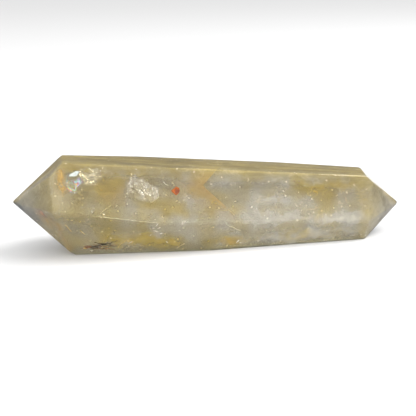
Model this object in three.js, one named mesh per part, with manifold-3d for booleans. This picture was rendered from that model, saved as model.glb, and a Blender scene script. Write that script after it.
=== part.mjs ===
// A citrine wand: one quartz crystal, ground to six tapering long facets with a six-sided point at each end,
// and lying on its lowest long facet.
// Millimetres, +Z up. The wand runs along X, its thin end towards +X. Its two widest facets face the front, -Y.
// The origin is the middle of the wand's footprint, on the surface that it lies on.

import * as THREE from 'three';
import { mergeVertices } from 'three/addons/utils/BufferGeometryUtils.js';
import Module from 'manifold-3d';

const wasm = await Module();
wasm.setup();

// ---------------------------------------------------------------- driving dimensions

const LENGTH = 100; // from point to point, before the points are blunted
const LAP_AXIS_HEIGHT = 10; // the line that the long facets are ground around, above the facet it lies on
const THICK_POINT_HEIGHT = 13.2; // the point at -X
const THIN_POINT_HEIGHT = 7.3; // the point at +X
const POINT_BLUNTING = 0.35; // how far each point is worn back
const ARRIS_EASING = 0.08; // how deep the polish cuts into each arris
const SHARP_ANGLE = 15; // two facets that meet flatter than this keep their arris as it is

// Every facet has a clock, the side that it faces: degrees from straight up, turning towards the front.
// Its lean is how far it faces along the wand: degrees towards the thin end, or minus towards the thick end.
// A long facet also has a depth, its distance from the lap axis half way along the wand.
// The stone was turned by hand, so most sides were ground in two or three passes at slightly different leans,
// which leaves them crowned.
const LONG_FACETS = {
  top: { clock: 1.5, lean: 5.8, depth: 10.1 },
  frontUpper: { clock: 65, lean: 4.2, depth: 9.05 },
  frontLowerThick: { clock: 119, lean: -5, depth: 12.1 },
  frontLowerThin: { clock: 110, lean: 1.5, depth: 11 },
  resting: { clock: 180, lean: 0, depth: LAP_AXIS_HEIGHT },
  backLowerThin: { clock: 243, lean: 4.5, depth: 11.2 },
  backLowerThick: { clock: 241, lean: -3, depth: 11.9 },
  backUpperThick: { clock: 300, lean: -4.5, depth: 11.9 },
  backUpperMiddle: { clock: 300, lean: 0.7, depth: 10.3 },
  backUpperThin: { clock: 299, lean: 5, depth: 11.6 },
};

// The facets of a point all pass through its tip.
const THICK_POINT_FACETS = {
  upper: { clock: 2, lean: -39.5 },
  front: { clock: 71, lean: -47 },
  lower: { clock: 131, lean: -41.5 },
  under: { clock: 182, lean: -42 },
  backLower: { clock: 228, lean: -43 },
  backUpper: { clock: 302, lean: -33 },
};
const THIN_POINT_FACETS = {
  upper: { clock: 9, lean: 41 },
  front: { clock: 74, lean: 35.5 },
  lower: { clock: 114, lean: 38.5 },
  under: { clock: 182, lean: 33 },
  backLower: { clock: 241, lean: 31.5 },
  backUpper: { clock: 289, lean: 41 },
};

// A small shell-shaped chip, where the lower front point facet meets the surface that the wand lies on.
const CHIP = { radius: 1.5, depth: 0.35, lengthwise: 12, around: 9 };

const STONE_COLOUR = 0xb8a878;
const STONE_ROUGHNESS = 0.12;

// ---------------------------------------------------------------- facets as planes

const THICK_TIP = new THREE.Vector3(-LENGTH / 2, 0, THICK_POINT_HEIGHT);
const THIN_TIP = new THREE.Vector3(LENGTH / 2, 0, THIN_POINT_HEIGHT);

function sideways(clock) {
  const angle = THREE.MathUtils.degToRad(clock);
  return new THREE.Vector3(0, -Math.sin(angle), Math.cos(angle));
}

function facing({ clock, lean }) {
  const tilt = THREE.MathUtils.degToRad(lean);
  return sideways(clock).multiplyScalar(Math.cos(tilt)).setX(Math.sin(tilt));
}

// A plane's normal points out of the stone.
function planeThrough(normal, point) {
  return new THREE.Plane().setFromNormalAndCoplanarPoint(normal, point);
}

function longFacet(facet) {
  const point = sideways(facet.clock).multiplyScalar(facet.depth);
  point.z += LAP_AXIS_HEIGHT;
  return planeThrough(facing(facet), point);
}

const facets = [
  ...Object.values(LONG_FACETS).map(longFacet),
  ...Object.values(THICK_POINT_FACETS).map((facet) => planeThrough(facing(facet), THICK_TIP)),
  ...Object.values(THIN_POINT_FACETS).map((facet) => planeThrough(facing(facet), THIN_TIP)),
];

// ---------------------------------------------------------------- solids

function toSolid(geometry) {
  const bare = geometry.clone();
  bare.deleteAttribute('normal');
  bare.deleteAttribute('uv');
  const merged = mergeVertices(bare);
  return new wasm.Manifold(new wasm.Mesh({
    numProp: 3,
    vertProperties: new Float32Array(merged.attributes.position.array),
    triVerts: new Uint32Array(merged.index.array),
  }));
}

function cornersOf(solid) {
  const { vertProperties } = solid.getMesh();
  const corners = [];
  for (let i = 0; i < vertProperties.length; i += 3) {
    corners.push(new THREE.Vector3().fromArray(vertProperties, i));
  }
  return corners;
}

const ROUGH_SIZE = 1.5 * LENGTH; // the rough block, and the reach of the grinding wheel

// Grinding takes away everything outside a facet's plane: a block whose inner face lies on that plane.
function grind(solid, plane) {
  const wheel = new THREE.BoxGeometry(2 * ROUGH_SIZE, 2 * ROUGH_SIZE, ROUGH_SIZE);
  const outwards = new THREE.Quaternion().setFromUnitVectors(new THREE.Vector3(0, 0, 1), plane.normal);
  wheel.translate(0, 0, ROUGH_SIZE / 2);
  wheel.applyQuaternion(outwards);
  wheel.translate(...plane.coplanarPoint(new THREE.Vector3()).toArray());
  return solid.subtract(toSolid(wheel));
}

// The plane that eases the arris between two facets, or null where they don't meet in a sharp one.
function easingPlane(one, other, corners) {
  const onPlane = 1e-3;
  const shared = corners.filter((corner) => Math.abs(one.distanceToPoint(corner)) < onPlane
    && Math.abs(other.distanceToPoint(corner)) < onPlane);
  const angle = THREE.MathUtils.radToDeg(one.normal.angleTo(other.normal));
  if (shared.length < 2 || angle < SHARP_ANGLE) return null;
  const normal = one.normal.clone().add(other.normal).normalize();
  return planeThrough(normal, shared[0].clone().addScaledVector(normal, -ARRIS_EASING));
}

function bluntingPlane(tip) {
  const outwards = new THREE.Vector3(Math.sign(tip.x), 0, 0);
  return planeThrough(outwards, tip.clone().addScaledVector(outwards, -POINT_BLUNTING));
}

// The corner where three facets meet.
function meetingPoint(a, b, c) {
  const rows = new THREE.Matrix3().set(
    ...a.normal.toArray(),
    ...b.normal.toArray(),
    ...c.normal.toArray(),
  );
  return new THREE.Vector3(-a.constant, -b.constant, -c.constant).applyMatrix3(rows.invert());
}

// ---------------------------------------------------------------- the wand

const rough = toSolid(new THREE.BoxGeometry(ROUGH_SIZE, ROUGH_SIZE, ROUGH_SIZE));
const faceted = facets.reduce(grind, rough);

const corners = cornersOf(faceted);
const easings = facets
  .flatMap((one, i) => facets.slice(i + 1).map((other) => easingPlane(one, other, corners)))
  .filter((plane) => plane !== null);
const polished = [...easings, bluntingPlane(THICK_TIP), bluntingPlane(THIN_TIP)].reduce(grind, faceted);

const chippedCorner = meetingPoint(
  longFacet(LONG_FACETS.resting),
  longFacet(LONG_FACETS.frontLowerThick),
  planeThrough(facing(THICK_POINT_FACETS.under), THICK_TIP),
);
const outOfCorner = new THREE.Vector3(-1, -1, -1).normalize();
const chip = new THREE.SphereGeometry(CHIP.radius, CHIP.lengthwise, CHIP.around);
chip.translate(...chippedCorner.addScaledVector(outOfCorner, CHIP.radius - CHIP.depth).toArray());
const stone = polished.subtract(toSolid(chip));

function toGeometry(solid) {
  const { vertProperties, triVerts } = solid.getMesh();
  const geometry = new THREE.BufferGeometry();
  geometry.setAttribute('position', new THREE.BufferAttribute(vertProperties, 3));
  geometry.setIndex(new THREE.BufferAttribute(triVerts, 1));
  return geometry;
}

const geometry = toGeometry(stone);
geometry.computeBoundingBox();
const { min, max } = geometry.boundingBox;
geometry.translate(-(min.x + max.x) / 2, -(min.y + max.y) / 2, -min.z);
geometry.computeVertexNormals();

const material = new THREE.MeshStandardMaterial({
  color: STONE_COLOUR,
  roughness: STONE_ROUGHNESS,
  metalness: 0,
});
const wand = new THREE.Mesh(geometry, material);
wand.name = 'citrine_wand';

const object = new THREE.Group();
object.add(wand);

export default object;
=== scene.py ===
# %% [markdown]
# # A citrine wand
#
# The real object is one quartz crystal, about 100 mm long, ground to six tapering sides with a point at each
# end and then polished. It is clear yellow quartz that holds milky clouds, iron stains and small cracks, and
# most of what the eye sees lies inside it. The outside could be painted to look milky, but paint has no
# depth: it would not shift behind the surface as the stone turns. So the outside is plain clear glass with a
# yellow body, and the clouds, stains and cracks are thin sheets and flecks in their real places inside it.

# %% Frame
import math
import random

import bmesh
import bpy
from mathutils import Matrix, Vector, noise
from mathutils.geometry import delaunay_2d_cdt, intersect_point_line


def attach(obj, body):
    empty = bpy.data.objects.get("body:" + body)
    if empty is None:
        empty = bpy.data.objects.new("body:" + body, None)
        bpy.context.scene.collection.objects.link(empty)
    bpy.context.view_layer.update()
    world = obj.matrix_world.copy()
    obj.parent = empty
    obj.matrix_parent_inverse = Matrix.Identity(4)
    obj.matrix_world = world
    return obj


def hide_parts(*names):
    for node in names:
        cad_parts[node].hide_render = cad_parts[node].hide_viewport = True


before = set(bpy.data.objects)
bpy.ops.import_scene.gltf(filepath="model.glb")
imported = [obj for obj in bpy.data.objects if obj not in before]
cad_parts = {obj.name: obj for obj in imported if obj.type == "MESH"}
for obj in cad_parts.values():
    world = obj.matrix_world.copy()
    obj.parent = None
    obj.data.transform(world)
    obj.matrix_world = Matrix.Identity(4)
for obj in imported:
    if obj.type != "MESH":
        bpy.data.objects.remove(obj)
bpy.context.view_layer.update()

NODE = "citrine_wand"
MM = 0.001

# %% [markdown]
# Colours are written as sRGB hex values, the way a colour picker gives them, but the renderer adds and
# multiplies light, so it needs linear values. One function turns the one into the other. A second one adds a
# node, sets it up and links it, so that each material below reads as a list of what it is made of.

# %% Colours and nodes


def linear(hex_colour):
    """An sRGB hex colour as linear red, green, blue and alpha."""
    channels = [int(hex_colour[i:i + 2], 16) / 255 for i in (1, 3, 5)]
    return [c / 12.92 if c <= 0.04045 else ((c + 0.055) / 1.055) ** 2.4 for c in channels] + [1.0]


def add_node(tree, kind, inputs=None, **settings):
    """A new node. An input is a value, a socket to link, or a node whose first output is linked."""
    node = tree.nodes.new(kind)
    for name, value in settings.items():
        setattr(node, name, value)
    for name, value in (inputs or {}).items():
        if isinstance(value, bpy.types.Node):
            value = value.outputs[0]
        if isinstance(value, bpy.types.NodeSocket):
            tree.links.new(value, node.inputs[name])
        else:
            node.inputs[name].default_value = value
    return node


def empty_material(name):
    material = bpy.data.materials.new(name)
    material.use_nodes = True
    material.node_tree.nodes.clear()
    return material


def place_in_mm(tree):
    """Where a point of the surface is, in the stone's own axes, in mm."""
    metres = add_node(tree, "ShaderNodeTexCoord").outputs["Object"]
    return add_node(tree, "ShaderNodeVectorMath", {0: metres, "Scale": 1 / MM}, operation="SCALE")


def stops(ramp, levels):
    """Sets a colour ramp from (position, colour) pairs."""
    while len(ramp.elements) < len(levels):
        ramp.elements.new(0.5)
    for element, (position, colour) in zip(ramp.elements, levels):
        element.position = position
        element.color = colour


def grey(level):
    return (level, level, level, 1.0)


print("mid grey in linear light:", [round(c, 3) for c in linear("#808080")])

# %% [markdown]
# Meshes are made in three stages: points and faces in a bmesh, then a mesh, then an object in the scene.
# Where a modifier or a curve's bevel does the work, the object is only a mould: its result is taken out and
# it is removed.

# %% Meshes and objects


def mesh_of(name, bm):
    """A mesh made from a bmesh, which is used up."""
    mesh = bpy.data.meshes.new(name)
    bm.to_mesh(mesh)
    bm.free()
    return mesh


def in_scene(name, data):
    """A new object that shows a mesh, a curve, a lamp or a camera."""
    ob = bpy.data.objects.new(name, data)
    bpy.context.scene.collection.objects.link(ob)
    return ob


def result_of(ob):
    """The mesh that an object's modifiers or bevel make. The object is removed."""
    mesh = bpy.data.meshes.new_from_object(ob.evaluated_get(bpy.context.evaluated_depsgraph_get()))
    bpy.data.objects.remove(ob)
    return mesh


# %% [markdown]
# A long lens from a little above and to the left of the stone's front. With a short lens the near end would
# swell.

# %% Camera
SENSOR = 36.0
FRAME_PIXELS = 416
FOCAL_PIXELS = 859.0
CAMERA_DISTANCE = 220 * MM
CAMERA_TARGET = Vector((-1.11, -0.44, 8.78)) * MM
ELEVATION, AZIMUTH, ROLL = (math.radians(angle) for angle in (15.25, -8.9, -0.96))
NEAREST, FARTHEST = 0.01, 100

camera_data = bpy.data.cameras.new("camera")
camera_data.sensor_width = SENSOR
camera_data.lens = SENSOR * FOCAL_PIXELS / FRAME_PIXELS
camera_data.clip_start = NEAREST
camera_data.clip_end = FARTHEST
camera = in_scene("camera", camera_data)
bpy.context.scene.camera = camera
towards_camera = Vector((math.sin(AZIMUTH) * math.cos(ELEVATION), -math.cos(AZIMUTH) * math.cos(ELEVATION),
                         math.sin(ELEVATION)))
turn = (-towards_camera).to_track_quat("-Z", "Y").to_matrix() @ Matrix.Rotation(ROLL, 3, "Z")
camera.matrix_world = Matrix.Translation(CAMERA_TARGET + towards_camera * CAMERA_DISTANCE) @ turn.to_4x4()
print("lens, mm:", round(camera_data.lens, 1))

# %% [markdown]
# Clear things show their surroundings, so the light is a tent and not a lamp. It is dim low down and behind,
# even all round, and brightest overhead. It leans 20 degrees forward, so that the front flats mirror its
# even part and the top flat, which would mirror the bright part, doesn't wash out. Small bright lamps would
# only draw hard lines on the polish and leave the clouds inside dark, so there are two large dim ones: a
# soft box high on the right, which also gives the shadow its side, and a low strip in front for the sides
# that lean down. Reflections leave the strip out, because from behind, the top flat would mirror it as a
# white patch with a hard edge.

# %% Light
TENT_STRENGTH = 1.17
TENT_TILT = math.radians(20)
TENT_LEVELS = [(0.0, 0.25), (0.12, 0.25), (0.25, 0.9), (0.45, 0.9), (0.75, 0.9), (0.9, 1.5), (1.0, 1.6)]
BRIGHTEST = 1.6
FLOOR_SIZE = 30
SIDE_LIGHT_PLACE, SIDE_LIGHT_SIZE, SIDE_LIGHT_POWER = (0.73, -0.13, 0.82), (0.7, 0.7), 12.0
STRIP_PLACE, STRIP_SIZE, STRIP_POWER = (-0.39, -0.97, 0.20), (0.95, 0.3), 9.0

world = bpy.data.worlds.new("studio")
bpy.context.scene.world = world
world.use_nodes = True
tree = world.node_tree
tree.nodes.clear()
direction = add_node(tree, "ShaderNodeTexCoord").outputs["Generated"]
tent_top = (0.0, -math.sin(TENT_TILT), math.cos(TENT_TILT))
height = add_node(tree, "ShaderNodeVectorMath", {0: direction, 1: tent_top}, operation="DOT_PRODUCT")
tent = add_node(tree, "ShaderNodeValToRGB", {"Fac": height.outputs["Value"]})
stops(tent.color_ramp, [(where, grey(level / BRIGHTEST)) for where, level in TENT_LEVELS])
sky = add_node(tree, "ShaderNodeBackground", {"Color": tent, "Strength": TENT_STRENGTH * BRIGHTEST})
add_node(tree, "ShaderNodeOutputWorld", {"Surface": sky})
bpy.context.scene.view_settings.view_transform = "Standard"

bpy.ops.mesh.primitive_plane_add(size=FLOOR_SIZE)
floor = bpy.context.object
floor.name = "floor"
paper = empty_material("white_paper")
shader = add_node(paper.node_tree, "ShaderNodeBsdfPrincipled", {
    "Base Color": linear("#d2d2d2"), "Roughness": 0.9})
add_node(paper.node_tree, "ShaderNodeOutputMaterial", {"Surface": shader})
floor.data.materials.append(paper)


def soft_box(name, place, size, power):
    """A large even lamp that faces the stone. Place and size are in metres, and power is in watts."""
    lamp = bpy.data.lights.new(name, "AREA")
    lamp.shape = "RECTANGLE"
    lamp.size, lamp.size_y = size
    lamp.energy = power
    ob = in_scene(name, lamp)
    ob.location = place
    ob.rotation_euler = (-Vector(place)).to_track_quat("-Z", "Y").to_euler()
    return ob


soft_box("side_light", SIDE_LIGHT_PLACE, SIDE_LIGHT_SIZE, SIDE_LIGHT_POWER)
strip = soft_box("front_strip", STRIP_PLACE, STRIP_SIZE, STRIP_POWER)
strip.visible_glossy = False
print("tent levels:", TENT_LEVELS)

# %% [markdown]
# The stone's flat sides come from the CAD solid, so the two can't drift apart. Each is kept as an outward
# normal and a distance. A second function grinds a block to those flats, at any depth under the surface, and
# that one function gives both the outside and the cloud layers inside.

# %% Flats
SMALLEST_FLAT = 1.0
SAME_DISTANCE = 0.01
SAME_ANGLE = math.radians(0.5)
ROUGH_BLOCK = 120
CLOSE_CUT = 1e-5
MERGE_GAP = 1e-3


def flats_of(mesh):
    """The flat sides of the CAD stone, as outward normals and distances from the origin, in mm."""
    flats = []
    for face in sorted(mesh.polygons, key=lambda f: -f.area):
        distance = face.normal.dot(face.center) / MM
        for flat in flats:
            near = abs(distance - flat["distance"]) < SAME_DISTANCE
            if near and face.normal.angle(flat["normal"]) < SAME_ANGLE:
                flat["area"] += face.area / MM ** 2
                break
        else:
            flats.append({"normal": face.normal.copy(), "distance": distance, "area": face.area / MM ** 2})
    return [(flat["normal"], flat["distance"]) for flat in flats if flat["area"] > SMALLEST_FLAT]


def ground_stone(flats, inset=0.0, reach=ROUGH_BLOCK / 2):
    """A block with everything outside the flats ground away, in mm. Reach is half its length at first."""
    bm = bmesh.new()
    bmesh.ops.create_cube(bm, size=ROUGH_BLOCK)
    ends = [(Vector((side, 0, 0)), reach + inset) for side in (-1, 1)]
    for normal, distance in flats + ends:
        everything = bm.verts[:] + bm.edges[:] + bm.faces[:]
        bmesh.ops.bisect_plane(bm, geom=everything, dist=CLOSE_CUT, plane_co=normal * (distance - inset),
                               plane_no=normal, clear_outer=True)
        open_edges = [edge for edge in bm.edges if edge.is_boundary]
        if open_edges:
            bmesh.ops.contextual_create(bm, geom=open_edges)
    bmesh.ops.remove_doubles(bm, verts=bm.verts[:], dist=MERGE_GAP)
    bmesh.ops.recalc_face_normals(bm, faces=bm.faces[:])
    return bm


flats = flats_of(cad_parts[NODE].data)
print(len(flats), "flats")

# %% [markdown]
# Tumbling and buffing round every edge of a polished stone a little, and wear its points most. A Bevel
# modifier makes poor corners where many flats meet at a point, so the stone is a hull instead: every corner
# of a slightly smaller stone gets a small cap of points at the rounding's radius, and the hull wraps them
# all. The long edges and the points have cores of their own, because their roundings differ.

# %% Rounded edges
EDGE_ROUNDING = 0.06
POINT_ROUNDING = 0.5
POINT_START = 46.5
END_GAP = 0.1
ARC_STEPS = 5
SHARP_ANGLE = math.radians(6)
HULL_GAP = 2e-3
FLAT_ANGLE = math.radians(0.3)


def cap_points(core, radius, chosen):
    """Points at a radius around the chosen corners of a core, on the arcs between its flats."""
    points = []
    for vert in core.verts:
        if not chosen(vert.co):
            continue
        directions = [face.normal.copy() for face in vert.link_faces]
        # The second list is read again for each flat, so that arcs to the arcs before it fill the cap.
        for one, other in ((a, b) for a in directions[:] for b in directions[:] if a is not b):
            if one.angle(other) > SHARP_ANGLE:
                directions += [one.slerp(other, k / ARC_STEPS) for k in range(1, ARC_STEPS)]
        points += [vert.co + direction * radius for direction in directions]
    return points


def hull_of(points):
    bm = bmesh.new()
    for point in points:
        bm.verts.new(point)
    bmesh.ops.remove_doubles(bm, verts=bm.verts[:], dist=HULL_GAP)
    hull = bmesh.ops.convex_hull(bm, input=bm.verts[:])
    unused = [v for v in hull["geom_interior"] + hull["geom_unused"] if isinstance(v, bmesh.types.BMVert)]
    bmesh.ops.delete(bm, geom=list(set(unused)), context="VERTS")
    return bm


def rounded_stone(depth):
    """The stone's rounded shape at a depth below its surface."""
    long_edges = (EDGE_ROUNDING, POINT_START, lambda co: abs(co.x) < POINT_START - END_GAP)
    tips = (POINT_ROUNDING, ROUGH_BLOCK / 2, lambda co: abs(co.x) > POINT_START)
    points = []
    for rounding, reach, chosen in (long_edges, tips):
        core = ground_stone(flats, inset=max(rounding, depth), reach=reach)
        points += cap_points(core, max(rounding - depth, 0.0), chosen)
    return hull_of(points)


outside = rounded_stone(0.0)
bmesh.ops.dissolve_limit(outside, angle_limit=FLAT_ANGLE, verts=outside.verts[:], edges=outside.edges[:])
bmesh.ops.recalc_face_normals(outside, faces=outside.faces[:])
print(len(outside.faces), "faces on the rounded stone")

# %% [markdown]
# The corner where the thick point meets the resting side is chipped. Quartz has no grain to split along, so
# a chip is a small shell-shaped hollow, and taking away a ball leaves that. The chip's place is the CAD's
# own.

# %% Chipped corner
CHIP_RADIUS = 1.5
CHIP_DEPTH = 0.35
BALL_DETAIL = 4


def flat_facing(*direction):
    """The normal and distance of the flat that faces most in a direction."""
    return max(flats, key=lambda flat: flat[0].dot(Vector(direction).normalized()))


def cut_away(bm, centre, radius):
    """What is left of a mesh when a ball is taken away from it, in mm."""
    ball = bmesh.new()
    place = Matrix.Translation(centre)
    bmesh.ops.create_icosphere(ball, subdivisions=BALL_DETAIL, radius=radius, matrix=place)
    body = in_scene("body", mesh_of("body", bm))
    tool = in_scene("tool", mesh_of("tool", ball))
    difference = body.modifiers.new("difference", "BOOLEAN")
    difference.object = tool
    left = bmesh.new()
    left.from_mesh(result_of(body))
    bpy.data.objects.remove(tool)
    return left


meeting = [flat_facing(0, 0, -1), flat_facing(-0.09, -0.87, -0.48), flat_facing(-0.66, -0.03, -0.75)]
corner = Matrix([normal for normal, _ in meeting]).inverted() @ Vector([distance for _, distance in meeting])
chip_centre = corner + Vector((-1, -1, -1)).normalized() * (CHIP_RADIUS - CHIP_DEPTH)
outside = cut_away(outside, chip_centre, CHIP_RADIUS)
print("chipped corner, mm:", [round(v, 2) for v in corner])

# %% [markdown]
# Quartz bends light with an index of 1.544. Citrine's yellow is in the whole body, so it comes from
# absorption over the distance that light travels, and thick parts are deeper in colour than thin ones. A
# hand polish leaves a very slight waviness, here 3 mm long and a few micrometres high, which breaks up
# straight reflections.

# %% Polished citrine
POLISH_WAVE = 3.0
POLISH_HEIGHT = 0.02 * MM
POLISH_STRENGTH = 0.25
BODY_COLOUR = "#dccf46"
BODY_DENSITY = 60.0


def below_surface(bm):
    """How far the outermost point of a mesh lies below the stone's flats, in mm."""
    return min(distance - normal.dot(vert.co) for vert in bm.verts for normal, distance in flats)


def finished_piece(name, bm, *materials, smooth=True):
    """Turns a mesh in mm into a piece of the stone, and prints its size and its least depth."""
    print(name, len(bm.faces), "faces,", round(below_surface(bm), 2), "mm below the surface")
    bm.transform(Matrix.Scale(MM, 4))
    mesh = mesh_of(name, bm)
    if smooth:
        mesh.shade_smooth()
    for material in materials:
        mesh.materials.append(material)
    ob = in_scene(name, mesh)
    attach(ob, "root")
    return ob


citrine = empty_material("polished_citrine")
tree = citrine.node_tree
place = place_in_mm(tree)
waves = add_node(tree, "ShaderNodeTexNoise", {"Vector": place, "Scale": 1 / POLISH_WAVE, "Detail": 2.0})
polish = add_node(tree, "ShaderNodeBump", {
    "Strength": POLISH_STRENGTH, "Distance": POLISH_HEIGHT, "Height": waves})
shader = add_node(tree, "ShaderNodeBsdfPrincipled", {
    "Base Color": linear("#ffffff"), "Roughness": 0.12, "IOR": 1.544, "Transmission Weight": 1.0,
    "Normal": polish})
absorb = add_node(tree, "ShaderNodeVolumeAbsorption", {
    "Color": linear(BODY_COLOUR), "Density": BODY_DENSITY})
add_node(tree, "ShaderNodeOutputMaterial", {"Surface": shader, "Volume": absorb})

stone = finished_piece("polished_stone", outside, citrine)
weighted = stone.modifiers.new("weighted", "WEIGHTED_NORMAL")
weighted.weight = 100
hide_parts(NODE)

# %% [markdown]
# Milky quartz is clear quartz full of tiny liquid bubbles. A real volume scatter would be the true way, but
# it is slow and it doesn't survive export. So the cloud is drawn in slices, as a scan is: thin shells, one
# inside the other, each partly see-through, all reading one three-dimensional pattern. From any side they
# add up to a cloud with depth. Eight of them are remeshed to small even faces and get a gentle wave, so that
# no two are parallel. The ninth, the skin, keeps the rounded shape just under the surface, for what has to
# look crisp.

# %% Haze shells
HAZE_DEPTHS = (0.7, 1.4, 2.3, 3.5, 4.9, 6.5, 8.3, 10.2)
SKIN_DEPTH = 0.3
HAZE_STEP = 1.2
WAVE_LENGTH = 6.0
WAVE_SHARE = 0.35
DEEPEST_WAVE = 0.9
WAVE_SHIFT = 3.1


def haze_shell(depth):
    """The stone's shape at a depth below its surface, with a gentle wave in it, in mm."""
    ob = in_scene("shell", mesh_of("shell", ground_stone(flats, inset=depth)))
    remesh = ob.modifiers.new("remesh", "REMESH")
    remesh.mode = "VOXEL"
    remesh.voxel_size = HAZE_STEP
    shell = result_of(ob)
    wave = min(WAVE_SHARE * depth, DEEPEST_WAVE)
    for vert in shell.vertices:
        at = vert.co / WAVE_LENGTH + Vector((depth * WAVE_SHIFT, 0, 0))
        vert.co -= vert.normal * wave * (0.5 + 0.5 * noise.noise(at))
    return shell


shells = bmesh.new()
for depth in HAZE_DEPTHS:
    shells.from_mesh(haze_shell(depth))
inner_verts = len(shells.verts)
shells.from_mesh(mesh_of("skin", rounded_stone(SKIN_DEPTH)))
bmesh.ops.recalc_face_normals(shells, faces=shells.faces[:])
on_skin = shells.verts.layers.float.new("skin")
for number, vert in enumerate(shells.verts):
    vert[on_skin] = 1.0 if number >= inner_verts else 0.0
print(len(shells.faces), "faces in", len(HAZE_DEPTHS), "shells and the skin")

# %% [markdown]
# The pattern of the haze is worked out from the place in mm. It could be used as it is, but then each region
# would be a neat ball. Real clouds curl, so a noise about 4 mm long first pushes each place aside by up to
# 2.5 mm. On top of that come wisps, which make the haze thicker and thinner and are drawn out along the
# stone, as it grew, and patches that are whiter or more golden. The thin end is the milkier one.

# %% Wisps and patches
SWIRL_SIZE = 4.0
SWIRL_REACH = 5.0
WISP_SIZE = 4.0
PATCH_SIZE = 5.0
COVER_THICK_END, COVER_THIN_END = 0.18, 0.26

haze = empty_material("cloudy_quartz")
tree = haze.node_tree
place = place_in_mm(tree)
axes = add_node(tree, "ShaderNodeSeparateXYZ", {"Vector": place})
wobble = add_node(tree, "ShaderNodeTexNoise", {"Vector": place, "Scale": 1 / SWIRL_SIZE, "Detail": 2.5})
centred = add_node(tree, "ShaderNodeVectorMath", {0: wobble.outputs["Color"], 1: (0.5, 0.5, 0.5)},
                   operation="SUBTRACT")
swirl = add_node(tree, "ShaderNodeVectorMath", {0: centred, 1: [SWIRL_REACH] * 3, 2: place},
                 operation="MULTIPLY_ADD")

stretch = add_node(tree, "ShaderNodeMapping", {"Vector": place, "Scale": (0.6, 1.0, 1.0)})
cloud = add_node(tree, "ShaderNodeTexNoise", {
    "Vector": stretch, "Scale": 1 / WISP_SIZE, "Detail": 7.0, "Roughness": 0.65, "Distortion": 0.6})
wisp = add_node(tree, "ShaderNodeMapRange", {
    "Value": cloud, "From Min": 0.36, "From Max": 0.66, "To Min": 0.6, "To Max": 1.4})
cover = add_node(tree, "ShaderNodeMapRange", {
    "Value": axes.outputs["X"], "From Min": -25.0, "From Max": 20.0, "To Min": COVER_THICK_END,
    "To Max": COVER_THIN_END})
density = add_node(tree, "ShaderNodeMath", {0: wisp, 1: cover}, operation="MULTIPLY")
patches = add_node(tree, "ShaderNodeTexNoise", {"Vector": swirl, "Scale": 1 / PATCH_SIZE, "Detail": 6.0})
mottle = add_node(tree, "ShaderNodeMapRange", {
    "Value": patches, "From Min": 0.35, "From Max": 0.65, "To Min": -0.05, "To Max": 0.85})
milkier = add_node(tree, "ShaderNodeMapRange", {
    "Value": axes.outputs["X"], "From Min": -30.0, "From Max": 10.0, "To Min": -0.05, "To Max": 0.25})
whiteness = add_node(tree, "ShaderNodeMath", {0: mottle, 1: milkier}, operation="ADD")
print(len(tree.nodes), "nodes for the wisps and patches")

# %% [markdown]
# A close look shows that milky quartz is grainy: crumbs well under a millimetre, a little whiter and thicker
# than the haze between them. They are drawn 0.7 mm wide, coarser than the real ones, so that they show. They
# add most on the skin, where the eye can make them out.

# %% Grain
GRAIN = 0.7
GRAIN_WHITE = 0.08
GRAIN_COVER, GRAIN_COVER_SKIN = 0.01, 0.03

grain = add_node(tree, "ShaderNodeTexNoise", {
    "Vector": place, "Scale": 1 / GRAIN, "Detail": 5.0, "Roughness": 0.7, "Distortion": 1.0})
grains = add_node(tree, "ShaderNodeMapRange", {
    "Value": grain, "From Min": 0.38, "From Max": 0.62, "To Min": -0.5, "To Max": 0.5})
whiteness = add_node(tree, "ShaderNodeMath", {0: grains, 1: GRAIN_WHITE, 2: whiteness},
                     operation="MULTIPLY_ADD")
skin = add_node(tree, "ShaderNodeAttribute", attribute_name="skin").outputs["Fac"]
grain_cover = add_node(tree, "ShaderNodeMapRange", {
    "Value": skin, "To Min": GRAIN_COVER, "To Max": GRAIN_COVER_SKIN})
density = add_node(tree, "ShaderNodeMath", {0: grains, 1: grain_cover, 2: density}, operation="MULTIPLY_ADD")
print("grain, mm:", GRAIN)

# %% [markdown]
# Both points are cloudier than the middle, whiter towards their tips, and drawn through with grey lines that
# run obliquely. The whiter tips are partly the points' own milkiness and partly painted light, which lifts
# the dimly lit points. A clear point would also act as a prism and show the dark side of the room. Smoke is a
# third
# total, beside whiteness and density: how grey the haze is. It grows towards the thin end and falls away at
# the thick end, which is partly the thin point's own grey and partly painted shade against the side light.

# %% Cloudy points
POINT_FADE = (35.0, 42.0)
POINT_WHITE_FROM, TIP_FROM, TIP = 40.0, 42.0, 49.0
LINE_SLOPE = math.radians(40)
LINE_SIZE = (9.0, 1.2, 1.2)

swirled = add_node(tree, "ShaderNodeSeparateXYZ", {"Vector": swirl})
out_along = add_node(tree, "ShaderNodeMath", {0: swirled.outputs["X"]}, operation="ABSOLUTE")
at_points = add_node(tree, "ShaderNodeMapRange", {
    "Value": out_along, "From Min": POINT_FADE[0], "From Max": POINT_FADE[1]})
# Whiter towards the tips: partly the points' own milkiness, partly painted light on the dimly lit points.
point_white_and_light = add_node(tree, "ShaderNodeMapRange", {
    "Value": out_along, "From Min": POINT_WHITE_FROM, "From Max": TIP, "To Min": 0.4, "To Max": 0.95})
point_cover = add_node(tree, "ShaderNodeMapRange", {"Value": skin, "To Min": 0.5, "To Max": 0.25})
tip_cover = add_node(tree, "ShaderNodeMapRange", {
    "Value": out_along, "From Min": TIP_FROM, "From Max": TIP, "To Max": 0.85})
tip_or_point = add_node(tree, "ShaderNodeMath", {0: point_cover, 1: tip_cover}, operation="MAXIMUM")
density = add_node(tree, "ShaderNodeMath", {0: at_points, 1: tip_or_point, 2: density},
                   operation="MULTIPLY_ADD")
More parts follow.
